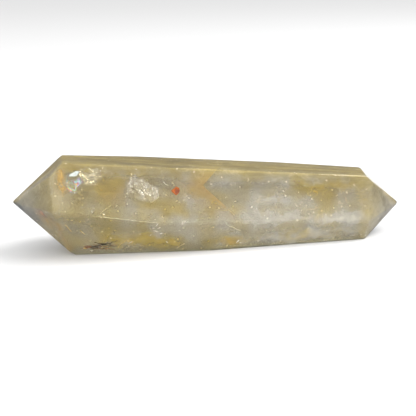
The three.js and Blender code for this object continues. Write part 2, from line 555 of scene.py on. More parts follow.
# Painted shade and light: greyer towards the thin end, where the side light falls, and clearer at the thick
# end.
point_smoke_and_shade = add_node(tree, "ShaderNodeMapRange", {
    "Value": swirled.outputs["X"], "From Min": -46.0, "From Max": 46.0, "To Min": -0.2, "To Max": 0.12})
oblique = add_node(tree, "ShaderNodeMapping", {
    "Vector": place, "Rotation": (0.0, -LINE_SLOPE, 0.0), "Scale": LINE_SIZE}, vector_type="TEXTURE")
lines = add_node(tree, "ShaderNodeTexNoise", {
    "Vector": oblique, "Scale": 1.0, "Detail": 3.0, "Distortion": 0.4})
line_smoke = add_node(tree, "ShaderNodeMapRange", {
    "Value": lines, "From Min": 0.5, "From Max": 0.66, "To Max": 0.35})
lined = add_node(tree, "ShaderNodeMath", {0: point_smoke_and_shade, 1: line_smoke}, operation="ADD")
smokiness = add_node(tree, "ShaderNodeMath", {0: at_points, 1: lined}, operation="MULTIPLY")
print("the points cloud over from", POINT_FADE[0], "mm out")

# %% [markdown]
# The cloud isn't even. The stone is golden and clearer at its thick end, white along the front edge towards
# the thin end, and stained with iron in places. Each such region is a soft ball, stretched to its half size
# in mm, and the pattern adds them up. The last two numbers say how much whiter (more golden, below zero),
# rustier or smokier the region is, and how much denser.

# %% Regions of the haze
CLOUDS = [("front edge, thin end", (32, -9.0, 6.3), (17, 3.5, 2.6), 1.2, 0.35),
          ("front edge, middle", (14, -9.8, 7.8), (16, 3.5, 2.8), 1.1, 0.18),
          ("front edge, thick end", (-8, -11.0, 9.4), (13, 2.5, 2.4), 0.8, 0.1),
          ("beside the stain", (3.5, -4.2, 18), (5, 3, 3.5), 1.4, 0.3),
          ("middle patch", (12, -6, 11.5), (9, 3.5, 4.0), 1.3, 0.3),
          ("low veil", (-14, -9, 6), (4, 3, 2.5), 0.7, 0.2),
          ("behind the rainbow", (-26, -8, 18), (8, 4, 6), -1.2, 0.15),
          # The low front regions are partly painted light: they are thicker, which lightens the low sides
          # that lean away from the light. Their gold and brown are the stone's own.
          ("low front, thick end", (-22, -8, 4), (16, 5, 5.5), -0.6, 0.6),
          ("low front, middle", (-12, -8.5, 3), (8, 4, 3.5), -0.6, 0.3),
          ("low front, brown", (2, -8, 2.5), (9, 4, 3.0), -1.3, 0.4),
          ("low front, thin end", (22, -8.5, 2.5), (22, 3.5, 3.0), 0.0, 0.5),
          ("high front, thin end", (27, -5.0, 13.5), (13, 4, 5.0), -1.1, 0.15)]
RUST = [("column", (-37.8, -7.2, 20.0), (1.6, 2.6, 4.6), 1.6, 0.8),
        ("soft stain", (31.0, -4.5, 13.2), (8.5, 3.5, 4.2), 0.6, 0.15),
        ("brown spot", (33.2, -5.5, 10.0), (1.3, 1.5, 1.8), 1.6, 0.4),
        ("thick shoulder", (-39.5, -9, 8), (2.4, 2.5, 9), 0.9, 0.3),
        ("thick point, low", (-41.5, -7, 9.5), (4.5, 4, 5.5), 1.0, 0.4),
        ("low brown", (3, -8, 2.0), (6, 3, 2.2), 0.8, 0.2)]
SMOKE = [("grey spot, high", (-42.3, -6.6, 17.6), (1.2, 1.2, 1.0), 1.4, 0.5),
         ("grey spot, middle", (-44.0, -5.5, 14.4), (0.9, 1.0, 0.8), 1.4, 0.5),
         ("grey spot, low", (-43.6, -6.4, 13.1), (1.0, 1.0, 0.7), 1.4, 0.5),
         ("smudge", (-25.4, -8.2, 17.6), (2.0, 1.2, 0.7), 1.2, 0.3),
         ("grey spot, thin end", (40.8, -4.6, 13.0), (1.0, 1.0, 0.8), 1.4, 0.5)]


def gathered(regions, total, density):
    """Adds soft balls to a total and to the density, each with its own strength."""
    for title, centre, half_size, strength, thickness in regions:
        fitted = add_node(tree, "ShaderNodeMapping", {
            "Vector": swirl, "Location": centre, "Scale": half_size}, vector_type="TEXTURE")
        ball = add_node(tree, "ShaderNodeTexGradient", {"Vector": fitted}, gradient_type="QUADRATIC_SPHERE",
                        label=title).outputs["Fac"]
        total = add_node(tree, "ShaderNodeMath", {0: ball, 1: strength, 2: total}, operation="MULTIPLY_ADD")
        density = add_node(tree, "ShaderNodeMath", {0: ball, 1: thickness, 2: density},
                           operation="MULTIPLY_ADD")
    return total, density


whiteness, density = gathered(CLOUDS, whiteness, density)
rustiness, density = gathered(RUST, 0.0, density)
smokiness, density = gathered(SMOKE, smokiness, density)
print(len(CLOUDS) + len(RUST) + len(SMOKE), "regions")

# %% [markdown]
# One stain is a band with a bent front edge, like an arrow head that points to the thick end: iron crept
# along a crack and stopped at an old crystal face. It is full against that edge and fades away from it. The
# edge lies at right angles to the front flat, so its height is measured along that flat. A little smoke
# turns its rust ochre.

# %% Stain band
BAND_TIP = Vector((-3.3, 11.8))
UP_THE_FRONT = (0.0, 0.42, 0.905)
BAND_WIDTH = 11.0
BAND_LEVELS = [(0.0, 0.0), (0.02, 1.0), (0.25, 0.7), (0.6, 0.25), (1.0, 0.0)]
BAND_CENTRE, BAND_REACH = (-3, -6.0, 19.0), (18, 12, 13.5)
BAND_RUST, BAND_SMOKE, BAND_DENSITY = 1.3, 0.3, 0.6

rise = add_node(tree, "ShaderNodeVectorMath", {0: place, 1: UP_THE_FRONT}, operation="DOT_PRODUCT")
off_tip = add_node(tree, "ShaderNodeMath", {0: rise.outputs["Value"], 1: BAND_TIP.y}, operation="SUBTRACT")
away = add_node(tree, "ShaderNodeMath", {0: off_tip}, operation="ABSOLUTE")
front_edge = add_node(tree, "ShaderNodeMath", {0: away, 1: BAND_TIP.x}, operation="ADD")
behind = add_node(tree, "ShaderNodeMath", {0: front_edge, 1: axes.outputs["X"]}, operation="SUBTRACT")
across = add_node(tree, "ShaderNodeMapRange", {"Value": behind, "From Max": BAND_WIDTH})
band = add_node(tree, "ShaderNodeValToRGB", {"Fac": across})
stops(band.color_ramp, [(where, grey(level)) for where, level in BAND_LEVELS])
near = add_node(tree, "ShaderNodeMapping", {"Vector": swirl, "Location": BAND_CENTRE, "Scale": BAND_REACH},
                vector_type="TEXTURE")
reach = add_node(tree, "ShaderNodeTexGradient", {"Vector": near}, gradient_type="SPHERICAL").outputs["Fac"]
band_here = add_node(tree, "ShaderNodeMath", {0: reach, 1: band}, operation="MULTIPLY")
rustiness = add_node(tree, "ShaderNodeMath", {0: band_here, 1: BAND_RUST, 2: rustiness},
                     operation="MULTIPLY_ADD", use_clamp=True)
smokiness = add_node(tree, "ShaderNodeMath", {0: band_here, 1: BAND_SMOKE, 2: smokiness},
                     operation="MULTIPLY_ADD")
density = add_node(tree, "ShaderNodeMath", {0: band_here, 1: BAND_DENSITY, 2: density},
                   operation="MULTIPLY_ADD")
print("tip of the band, mm:", tuple(BAND_TIP))

# %% [markdown]
# A real cloud scatters light from every side, and no part of it knows which way a flat faces. A shell does,
# and lit by its own faces, each one would show the stone's edges again inside the stone. So every shell is
# lit as if it faced straight out from one line that runs along the stone. The line lies low, which turns the
# low sides up a little, as if light had come round to them inside the stone. A shell is also seen from
# within, and there the direction is turned round.

# %% Light on the haze
CLOUD_LEAN = 0.03
CLOUD_MIDDLE = 4.0
AXIS_SLOPE = math.radians(3.4)

from_axis = add_node(tree, "ShaderNodeMapping", {
    "Vector": place, "Location": (0.0, 0.0, -CLOUD_MIDDLE), "Rotation": (0.0, -AXIS_SLOPE, 0.0)})
sideways = add_node(tree, "ShaderNodeVectorMath", {0: from_axis, 1: (CLOUD_LEAN, 1.0, 1.0)},
                    operation="MULTIPLY")
outwards = add_node(tree, "ShaderNodeVectorMath", {0: sideways}, operation="NORMALIZE")
from_inside = add_node(tree, "ShaderNodeNewGeometry").outputs["Backfacing"]
side = add_node(tree, "ShaderNodeMapRange", {"Value": from_inside, "To Min": 1.0, "To Max": -1.0})
cloud_normal = add_node(tree, "ShaderNodeVectorMath", {0: outwards, "Scale": side}, operation="SCALE")
print("line that the haze faces away from, mm up:", CLOUD_MIDDLE)

# %% [markdown]
# Along the crest of the stone, and right under the top flat, lie growth streaks: fine olive lines that run
# the length of the stone. The olive covers the whole top, so it is also painted shade, which darkens the top
# of the stone. The noise is squeezed to one twentieth along the stone, so that its 2 mm grains become 40 mm
# streaks. They are denser than the haze, so they also hide the far edges that would shine through the top.

# %% Growth streaks and painted shade on the top
TOP_NORMAL = (0.101, -0.026, 0.995)
TOP_LAYER = (16.5, 20.2)
CREST = (0.93, 0.99)
STREAK_WIDTH = 2.0
STREAK_SQUEEZE = 0.05
STREAK_AND_SHADE_DENSITY = 0.65

upwards = add_node(tree, "ShaderNodeSeparateXYZ", {"Vector": outwards}).outputs["Z"]
on_crest = add_node(tree, "ShaderNodeMapRange", {
    "Value": upwards, "From Min": CREST[0], "From Max": CREST[1]})
above = add_node(tree, "ShaderNodeVectorMath", {0: place, 1: TOP_NORMAL}, operation="DOT_PRODUCT")
under_top = add_node(tree, "ShaderNodeMapRange", {
    "Value": above.outputs["Value"], "From Min": TOP_LAYER[0], "From Max": TOP_LAYER[1]})
# The olive over the whole top and crest is painted shade as well as growth streaks.
streaks_and_top_shade = add_node(tree, "ShaderNodeMath", {0: under_top, 1: on_crest}, operation="MAXIMUM")
along = add_node(tree, "ShaderNodeMapping", {"Vector": place, "Scale": (STREAK_SQUEEZE, 1.0, 1.0)})
streak = add_node(tree, "ShaderNodeTexNoise", {
    "Vector": along, "Scale": 1 / STREAK_WIDTH, "Detail": 3.0, "Roughness": 0.6})
streaks = add_node(tree, "ShaderNodeMapRange", {"Value": streak, "From Min": 0.35, "From Max": 0.65})
olive = add_node(tree, "ShaderNodeMix", {"Factor": streaks, "A": linear("#a08e54"), "B": linear("#d0bd78")},
                 data_type="RGBA")
alpha = add_node(tree, "ShaderNodeMath", {0: streaks_and_top_shade, 1: STREAK_AND_SHADE_DENSITY, 2: density},
                 operation="MULTIPLY_ADD", use_clamp=True)
print("streaks, mm long:", STREAK_WIDTH / STREAK_SQUEEZE)

# %% [markdown]
# The totals now become a colour. It starts golden, and white, rust, smoke and the olive streaks are mixed
# over it in that order, each by its own total. Some of the white, the smoke and the olive is painted light
# and shade.

# %% Colour of the haze
GOLDEN, MILKY, RUSTY, SMOKY = "#dac268", "#e6e2d8", "#d2b06a", "#8a8268"

whiteness = add_node(tree, "ShaderNodeClamp", {"Value": whiteness})
whiteness = add_node(tree, "ShaderNodeMix", {"Factor": at_points, "A": whiteness, "B": point_white_and_light})
smokiness = add_node(tree, "ShaderNodeClamp", {"Value": smokiness})
colour = linear(GOLDEN)
for amount, other in ((whiteness, linear(MILKY)), (rustiness, linear(RUSTY)), (smokiness, linear(SMOKY)),
                      (streaks_and_top_shade, olive.outputs["Result"])):
    colour = add_node(tree, "ShaderNodeMix", {"Factor": amount, "A": colour, "B": other},
                      data_type="RGBA").outputs["Result"]
print("golden haze in linear light:", [round(c, 3) for c in linear(GOLDEN)])

# %% [markdown]
# Two kinds of light bits finish the haze. Healed cracks seen edge on are thin pale veils: the line where a
# noise crosses its middle value draws one. Large single bubbles are pale dots, one about every 2 mm, at
# jittered places with a crooked edge. The shader itself is dull, because a cloud has no gloss: all gloss is
# on the polish outside.

# %% Veils, bubbles and the haze shader
VEIL_SIZE = 5.0
VEIL_STRETCH = 0.45
VEIL_HALF_WIDTH, VEIL_COVER = 0.02, 0.08
BUBBLE_SPACING = 2.2
BUBBLE_CROOK = 1.2
BUBBLE_EDGE, BUBBLE_COVER = (0.05, 0.14), 0.55

pulled = add_node(tree, "ShaderNodeMapping", {"Vector": swirl, "Scale": (VEIL_STRETCH, 1.0, 1.0)})
veil_noise = add_node(tree, "ShaderNodeTexNoise", {
    "Vector": pulled, "Scale": 1 / VEIL_SIZE, "Detail": 2.0, "Roughness": 0.5})
off_middle = add_node(tree, "ShaderNodeMath", {0: veil_noise, 1: 0.5}, operation="SUBTRACT")
from_middle = add_node(tree, "ShaderNodeMath", {0: off_middle}, operation="ABSOLUTE")
veil = add_node(tree, "ShaderNodeMapRange", {
    "Value": from_middle, "From Max": VEIL_HALF_WIDTH, "To Min": VEIL_COVER, "To Max": 0.0})
crooked = add_node(tree, "ShaderNodeVectorMath", {
    0: grain.outputs["Color"], 1: [BUBBLE_CROOK] * 3, 2: place}, operation="MULTIPLY_ADD")
bubbles = add_node(tree, "ShaderNodeTexVoronoi", {"Vector": crooked, "Scale": 1 / BUBBLE_SPACING})
bubble = add_node(tree, "ShaderNodeMapRange", {
    "Value": bubbles, "From Min": BUBBLE_EDGE[0], "From Max": BUBBLE_EDGE[1], "To Min": BUBBLE_COVER,
    "To Max": 0.0})
light_bits = add_node(tree, "ShaderNodeMath", {0: veil, 1: bubble}, operation="MAXIMUM")
colour = add_node(tree, "ShaderNodeMix", {"Factor": light_bits, "A": colour, "B": linear("#fff6e4")},
                  data_type="RGBA").outputs["Result"]
alpha = add_node(tree, "ShaderNodeMath", {0: light_bits, 1: alpha}, operation="ADD", use_clamp=True)
shader = add_node(tree, "ShaderNodeBsdfPrincipled", {
    "Base Color": colour, "Roughness": 1.0, "Specular IOR Level": 0.0, "Alpha": alpha,
    "Normal": cloud_normal})
add_node(tree, "ShaderNodeOutputMaterial", {"Surface": shader})
finished_piece("cloudy_haze", shells, haze)

# %% [markdown]
# Cracks and stains are placed the way a gem report does it: which flat they lie under, where on it, and how
# deep. A crack that reached past an edge would stick out of the stone there, so each point is also held at
# least a tenth of a millimetre inside every flat.

# %% Places under a flat
FRONT = flat_facing(0.07, -0.90, 0.42)
LOW_THICK = flat_facing(-0.09, -0.87, -0.48)
LOW_THIN = flat_facing(0.03, -0.94, -0.34)
BACK_THICK = flat_facing(-0.08, 0.86, 0.50)
BACK_THIN = flat_facing(0.01, 0.87, 0.50)
THICK_POINT_LOW = flat_facing(-0.66, -0.57, -0.49)
LEAST_DEPTH = 0.1


def kept_inside(point, least_depth=LEAST_DEPTH):
    """The point, moved inwards where it would lie too close under one of the flats."""
    for normal, distance in flats:
        short = least_depth - (distance - normal.dot(point))
        if short > 0:
            point = point - normal * short
    return point


def under(flat, x, z, depth):
    """A point in mm at a depth under a side flat. Where it is on that flat is given by x and z."""
    normal, distance = flat
    on_flat = Vector((x, (distance - normal.x * x - normal.z * z) / normal.y, z))
    return kept_inside(on_flat - normal * depth)


print("middle of the front:", [round(v, 1) for v in under(FRONT, 0, 14, 0)])

# %% [markdown]
# A crack in quartz is a thin curved gap with a ragged edge. A plane with a noise mask could stand in for it,
# but its edge would be fuzzy. Here the outline is drawn as a few corners, broken up finely, filled with
# jittered points, and triangulated within the outline, which gives irregular splinters that catch the light
# one by one. Each point also stores how far it is from the edge, in the rim attribute, so that a material
# can thin out there.

# %% Crack sheets
CLOSE_POINTS = 1e-4
CRUMPLE_ROUGHNESS, CRUMPLE_GAP, CRUMPLE_OCTAVES = 0.8, 2.2, 3
JITTER = (0.1, 0.9)
SEED_SHIFT_X, SEED_SHIFT_Z = 7.7, 3.3


def jagged(outline, step, jag, rng):
    """An outline with more corners, each pushed aside a little, the way a break in stone runs."""
    points = []
    for start, end in zip(outline, outline[1:] + outline[:1]):
        start, end = Vector(start), Vector(end)
        pieces = max(1, round((end - start).length / step))
        for k in range(pieces):
            push = Vector((rng.uniform(-jag, jag), rng.uniform(-jag, jag)))
            points.append(start.lerp(end, k / pieces) + push)
    return points


def to_edge(outline, point):
    """How far a point is from an outline."""
    nearest = math.inf
    for start, end in zip(outline, outline[1:] + outline[:1]):
        foot, share = intersect_point_line(point, start, end)
        foot = start if share < 0 else end if share > 1 else Vector(foot[:2])
        nearest = min(nearest, (point - foot).length)
    return nearest


def crack_sheet(bm, flat, outline, depth, step=0.5, crumple=0.2, ripple=1.2, jag=0.12, tilt=(0, 0), seed=1):
    """Adds a thin crumpled sheet that lies under a flat. Tilt is how much deeper it gets per mm each way."""
    rng = random.Random(seed)
    rim = bm.verts.layers.float.get("rim") or bm.verts.layers.float.new("rim")
    edge = jagged(outline, step, jag, rng)
    low = Vector((min(p.x for p in edge), min(p.y for p in edge)))
    high = Vector((max(p.x for p in edge), max(p.y for p in edge)))
    middle = (low + high) / 2
    inner = []
    for row in range(int((high.y - low.y) / step) + 1):
        for column in range(int((high.x - low.x) / step) + 1):
            cell = Vector((column + rng.uniform(*JITTER), row + rng.uniform(*JITTER)))
            inner.append(low + cell * step)
    corners, _, faces, *_ = delaunay_2d_cdt(edge + inner, [], [list(range(len(edge)))], 1, CLOSE_POINTS)
    shift = Vector((seed * SEED_SHIFT_X, seed * SEED_SHIFT_Z, 0))
    made = {}
    for k in sorted({k for face in faces for k in face}):
        x, z = corners[k]
        at = Vector((x, z, 0)) / ripple + shift
        lift = noise.fractal(at, CRUMPLE_ROUGHNESS, CRUMPLE_GAP, CRUMPLE_OCTAVES) * crumple
        lean = (x - middle.x) * tilt[0] + (z - middle.y) * tilt[1]
        made[k] = bm.verts.new(under(flat, x, z, depth + lift + lean))
        made[k][rim] = to_edge(edge, corners[k])
    for face in faces:
        bm.faces.new([made[k] for k in face])


def thin_at_rim(tree, cover, fade):
    """An alpha that falls to nothing over a distance from a sheet's edge, in mm."""
    rim = add_node(tree, "ShaderNodeAttribute", attribute_name="rim").outputs["Fac"]
    inside = add_node(tree, "ShaderNodeMapRange", {"Value": rim, "From Max": fade})
    return add_node(tree, "ShaderNodeMath", {0: cover, 1: inside}, operation="MULTIPLY")


square = [(0, 0), (4, 0), (4, 4), (0, 4)]
print("corners of a jagged square:", len(jagged(square, 0.5, 0.1, random.Random(1))))

# %% [markdown]
# A crack shows by the films in it, with clear gaps between them, and each kind of film has its own look. A
# healed crack holds tiny bubbles and air films, which mirror light, so it is a little metallic in the
# shader's terms and looks like crumpled white tissue. Iron gilds such films, and they flash pale gold. As
# dull rust it leaves an ochre, rosy or brown film, and as a thin stain a golden veil that only tints what
# lies behind it. A thin air gap without any iron is the brightest.

# %% Films in a crack
FILM_EDGES = (0.38, 0.62)


def crack_material(name, colour, metallic, grain, least, most, fade, roughness=0.3):
    """A sheet of small films. Grain is their size in mm, and least and most are how much of it they cover."""
    material = empty_material(name)
    tree = material.node_tree
    films = add_node(tree, "ShaderNodeTexNoise", {
        "Vector": place_in_mm(tree), "Scale": 1 / grain, "Detail": 5.0, "Roughness": 0.7})
    cover = add_node(tree, "ShaderNodeMapRange", {
        "Value": films, "From Min": FILM_EDGES[0], "From Max": FILM_EDGES[1], "To Min": least,
        "To Max": most})
    shader = add_node(tree, "ShaderNodeBsdfPrincipled", {
        "Base Color": linear(colour), "Metallic": metallic, "Roughness": roughness,
        "Alpha": thin_at_rim(tree, cover, fade)})
    add_node(tree, "ShaderNodeOutputMaterial", {"Surface": shader})
    return material


healed = crack_material("healed_crack", "#fffdf6", 0.4, 0.8, 0.05, 0.5, 0.6, roughness=0.25)
gilded = crack_material("iron_gilded_crack", "#fbf0cc", 0.5, 0.4, 0.0, 0.7, 1.0, roughness=0.2)
golden_veil = crack_material("golden_veil", "#b2923c", 0.0, 4.0, 0.35, 0.55, 0.3, roughness=0.9)
ochre_film = crack_material("ochre_film", "#d8b45c", 0.0, 0.8, 0.3, 0.85, 0.9, roughness=0.6)
rosy_film = crack_material("rosy_film", "#dca070", 0.0, 1.5, 0.2, 0.6, 0.6, roughness=0.9)
brown_film = crack_material("iron_brown_film", "#b4744c", 0.0, 0.5, 0.4, 0.9, 0.1, roughness=0.7)
air_film = crack_material("bright_air_film", "#f4ffff", 0.3, 0.7, 0.5, 1.0, 0.15, roughness=0.2)
print("films:", [m.name for m in (healed, gilded, golden_veil, ochre_film, rosy_film, brown_film, air_film)])

# %% [markdown]
# Where a crack holds a film of air thinner than a hair, its two walls reflect light in step for one colour
# and out of step for another, as in a soap bubble. The colours follow lines of equal gap, so they run in
# bent bands, here about 1 mm wide. The base colour of a metal is the colour of its mirror image, so the film
# is half a metal: it flashes its colours where it mirrors light and still shows them faintly elsewhere.

# %% Iridescent film
GAP_SIZE = 2.5
ORDERS = 8.0
IRIS_FILMS_PER_MM = 1.2
IRIS_FADE = 0.5

iris = empty_material("iridescent_film")
tree = iris.node_tree
place = place_in_mm(tree)
gap = add_node(tree, "ShaderNodeTexNoise", {"Vector": place, "Scale": 1 / GAP_SIZE, "Detail": 2.0})
orders = add_node(tree, "ShaderNodeMath", {0: gap, 1: ORDERS}, operation="MULTIPLY")
order = add_node(tree, "ShaderNodeMath", {0: orders}, operation="FRACT")
hue = add_node(tree, "ShaderNodeValToRGB", {"Fac": order})
stops(hue.color_ramp, [(0.0, linear("#f4fbff")), (0.2, linear("#78e0f0")), (0.36, linear("#98dc78")),
                       (0.52, linear("#f4e450")), (0.66, linear("#f49060")), (0.78, linear("#e468ac")),
                       (0.9, linear("#88b4ff")), (1.0, linear("#f4fbff"))])
films = add_node(tree, "ShaderNodeTexNoise", {"Vector": place, "Scale": IRIS_FILMS_PER_MM, "Detail": 4.0})
cover = add_node(tree, "ShaderNodeMapRange", {
    "Value": films, "From Min": 0.4, "From Max": 0.6, "To Min": 0.15, "To Max": 0.9})
shader = add_node(tree, "ShaderNodeBsdfPrincipled", {
    "Base Color": hue, "Metallic": 0.5, "Roughness": 0.25, "Alpha": thin_at_rim(tree, cover, IRIS_FADE)})
add_node(tree, "ShaderNodeOutputMaterial", {"Surface": shader})
print("colour orders over the gap's range:", ORDERS)

# %% [markdown]
# The sheets themselves. Outlines are in mm, x along the stone and z up. The crumpled white cluster, the
# gilded crumple and the rainbow with its bright core lie under the front near the thick end, the column and
# the rosy streaks at the thick point, and a brown foot under the dark threads. Two plain cracks lie at the
# back, where little is known of the stone. A sheet that needs sharp splinters is shaded flat.

# %% Cracks and stains
CLUSTER = [(-20.2, 21.1), (-18.4, 19.6), (-16.8, 18.2), (-14.4, 16.9), (-14.3, 15.3), (-16.4, 13.4),
           (-18.4, 13.4), (-20.2, 14.8), (-21.1, 16.2), (-22.4, 15.0), (-22.8, 16.3), (-22.1, 18.5),
           (-21.2, 20.3)]
CLUSTER_FOLD = [(-17.0, 17.6), (-15.3, 17.5), (-14.4, 16.8), (-14.3, 15.3), (-15.2, 14.0), (-16.4, 13.5),
                (-15.9, 15.2), (-16.2, 16.4)]
SPARKLE_PATCH = [(16.7, 14.3), (19.7, 15.1), (22.2, 14.0), (22.9, 11.1), (21.1, 9.2), (18.3, 10.1)]
BACK_HEALED = [(10, 14), (16, 15), (18, 11), (12, 9), (8, 11)]
CRUMPLE = [(-33.3, 22.6), (-30.4, 23.0), (-27.1, 22.6), (-26.5, 21.3), (-27.6, 19.6), (-29.3, 18.2),
           (-31.7, 18.1), (-33.1, 19.5), (-33.7, 21.3)]
BACK_GILDED = [(-24, 16), (-18, 18), (-15, 15), (-19, 12), (-25, 13)]
GOLD_LEAF = [(-30.0, 22.6), (-25.0, 22.2), (-22.4, 21.4), (-21.9, 19.4), (-22.6, 16.7), (-22.1, 14.4),
             (-23.8, 13.3), (-27.6, 14.6), (-29.1, 17.2)]
COLUMN = [(-38.9, 22.6), (-36.9, 23.5), (-36.2, 21.5), (-36.6, 19.8), (-35.8, 17.3), (-37.4, 16.1),
          (-39.0, 17.9), (-39.4, 20.8)]
ROSY_LONG = [(-40.2, 9.6), (-39.2, 9.8), (-37.7, 5.6), (-35.4, 1.2), (-36.6, 1.0), (-38.7, 4.8)]
ROSY_POINT = [(-44.6, 13.3), (-42.6, 13.2), (-40.8, 11.0), (-42.0, 10.2), (-44.0, 11.4)]
DENDRITE = [(-33.1, 2.6), (-32.0, 2.8), (-31.2, 2.5), (-31.4, 1.9), (-32.9, 1.8)]
RAINBOW = [(-36.4, 20.3), (-34.5, 19.9), (-33.0, 20.7), (-32.1, 21.5), (-31.0, 20.9), (-32.0, 19.5),
           (-33.4, 18.2), (-34.1, 16.8), (-35.3, 16.6), (-36.2, 17.8), (-36.8, 19.0)]
CORE = [(-37.1, 20.9), (-35.5, 21.2), (-34.5, 21.7), (-33.4, 22.0), (-32.9, 21.8), (-33.0, 21.4),
        (-33.5, 21.0), (-34.0, 20.6), (-35.0, 20.6), (-36.0, 20.7)]
CRACKS = [
    ("healed_cracks", healed, False, [
        (FRONT, CLUSTER, 0.35, {"ripple": 1.0, "jag": 0.3, "seed": 3}),
        (FRONT, CLUSTER_FOLD, 0.4, {"step": 0.4, "crumple": 0.15, "tilt": (0, 0.15), "seed": 4}),
        (FRONT, SPARKLE_PATCH, 1.2, {"crumple": 0.6, "tilt": (0.1, 0.2), "seed": 6}),
        (BACK_THIN, BACK_HEALED, 1.5, {"crumple": 0.5, "seed": 7})]),
    ("gilded_cracks", gilded, False, [
        (FRONT, CRUMPLE, 0.3, {"step": 0.4, "ripple": 0.8, "jag": 0.2, "seed": 5}),
        (BACK_THICK, BACK_GILDED, 1.2, {"crumple": 0.4, "seed": 9})]),
    ("golden_veil", golden_veil, True, [
        (FRONT, GOLD_LEAF, 1.0, {"step": 1.0, "crumple": 0.3, "seed": 10})]),
    ("ochre_column", ochre_film, True, [
        (FRONT, COLUMN, 0.2, {"step": 0.6, "crumple": 0.1, "jag": 0.2, "seed": 21})]),
    ("rosy_streaks", rosy_film, True, [
        (LOW_THICK, ROSY_LONG, 0.2, {"step": 0.6, "crumple": 0.1, "seed": 22}),
        (THICK_POINT_LOW, ROSY_POINT, 0.2, {"step": 0.6, "crumple": 0.1, "seed": 23})]),
    ("dendrite_foot", brown_film, False, [
        (LOW_THICK, DENDRITE, 0.2, {"step": 0.3, "crumple": 0.05, "ripple": 0.6, "jag": 0.1, "seed": 24})]),
    ("rainbow_crack", iris, True, [
        (FRONT, RAINBOW, 0.35, {"crumple": 0.15, "ripple": 1.5, "jag": 0.15, "seed": 8})]),
    ("rainbow_core", air_film, True, [
        (FRONT, CORE, 0.2, {"step": 0.3, "crumple": 0.1, "ripple": 0.8, "jag": 0.1, "seed": 25})])]

for name, material, smooth, sheets in CRACKS:
    sheet_mesh = bmesh.new()
    for flat, outline, depth, shape in sheets:
        crack_sheet(sheet_mesh, flat, outline, depth, **shape)
    finished_piece(name, sheet_mesh, material, smooth=smooth)

# %% [markdown]
# Threads, grains and flecks are minerals or trapped air, not films. Each is speckled, two shades in grains
# about half a millimetre wide, which is coarser than the real ones, so that they show. Air mirrors, so it is
# half metallic or bright white. Manganese oxide is nearly black and dull, iron oxide a red that glows in the
# light.

# %% Minerals
SPECKLE = 0.5
SPECKLE_EDGES = (0.35, 0.65)


def mineral(name, dark, light, metallic, roughness, grain=SPECKLE):
    """A speckled mineral: two colours in grains of a size in mm."""
    material = empty_material(name)
    tree = material.node_tree
    speckle = add_node(tree, "ShaderNodeTexNoise", {
        "Vector": place_in_mm(tree), "Scale": 1 / grain, "Detail": 3.0})
    sharper = add_node(tree, "ShaderNodeMapRange", {
        "Value": speckle, "From Min": SPECKLE_EDGES[0], "From Max": SPECKLE_EDGES[1]})
    mixed = add_node(tree, "ShaderNodeMix", {"Factor": sharper, "A": linear(dark), "B": linear(light)},
                     data_type="RGBA")
    shader = add_node(tree, "ShaderNodeBsdfPrincipled", {
        "Base Color": mixed.outputs["Result"], "Metallic": metallic, "Roughness": roughness,
        "Specular IOR Level": 0.1})
    add_node(tree, "ShaderNodeOutputMaterial", {"Surface": shader})
    return material


air = mineral("air_in_crack", "#d9d2b8", "#fffdf2", 0.5, 0.3)
manganese = mineral("manganese_oxide", "#211b18", "#54463a", 0.0, 0.6)
iron_brown = mineral("iron_brown", "#6a4434", "#b08058", 0.0, 0.7)
iron_film = mineral("iron_gold_film", "#a8842c", "#f0d890", 0.5, 0.35)
iron_oxide = mineral("red_iron_oxide", "#6c2400", "#e07800", 0.0, 0.6, grain=0.9)
bright_air = mineral("bright_air", "#f6f4f0", "#ffffff", 0.0, 0.4)
mirror = mineral("mirror_flake", "#eef4ff", "#ffffff", 1.0, 0.25)
print("minerals:", [m.name for m in (air, manganese, iron_brown, iron_film, iron_oxide, bright_air, mirror)])

# %% [markdown]
# The finest cracks show as threads. A curve with a round bevel, thin at both ends, is the simplest way to
# draw one. The dark ones with their brown fringe are a dendrite: manganese that grew like a twig along a
# crack. The light thread just under the front edge is no crack: it is a painted highlight, where the polished
# edge shines.

# %% Threads
THREAD_STEP = 0.6
THREAD_SINK = 0.15
THREAD_JAG = 0.12
THREAD_RAGGED = (0.5, 1.2)
THREAD_TIP_SHARE = 0.35


def threads(name, lines, material, seed, jag=THREAD_JAG):
    """Fine tapered cracks, or a painted highlight. Each line has a flat, a depth, a thickness and its points,
    in mm.
    """
    rng = random.Random(seed)
    curve = bpy.data.curves.new(name, "CURVE")
    curve.dimensions = "3D"
    curve.bevel_depth = 1.0
    curve.bevel_resolution = 1
    for flat, depth, thickness, points in lines:
        path = [Vector(points[0])]
        for start, end in zip(points, points[1:]):
            start, end = Vector(start), Vector(end)
            pieces = max(1, round((end - start).length / THREAD_STEP))
            path += [start.lerp(end, k / pieces) + Vector((rng.uniform(-jag, jag), rng.uniform(-jag, jag)))
                     for k in range(1, pieces + 1)]
        spline = curve.splines.new("POLY")
        spline.points.add(len(path) - 1)
        for k, (on_flat, point) in enumerate(zip(path, spline.points)):
            at = under(flat, on_flat.x, on_flat.y, depth + rng.uniform(0, THREAD_SINK))
            middle = math.sin(math.pi * (k + 0.6) / (len(path) + 0.2))  # 0 past the ends, 1 half way
            taper = THREAD_TIP_SHARE + (1 - THREAD_TIP_SHARE) * middle
            point.radius = thickness / 2 * rng.uniform(*THREAD_RAGGED) * taper
            point.co = (*kept_inside(at, LEAST_DEPTH + point.radius), 1.0)
    bm = bmesh.new()
    bm.from_mesh(result_of(in_scene(name, curve)))
    finished_piece(name, bm, material)


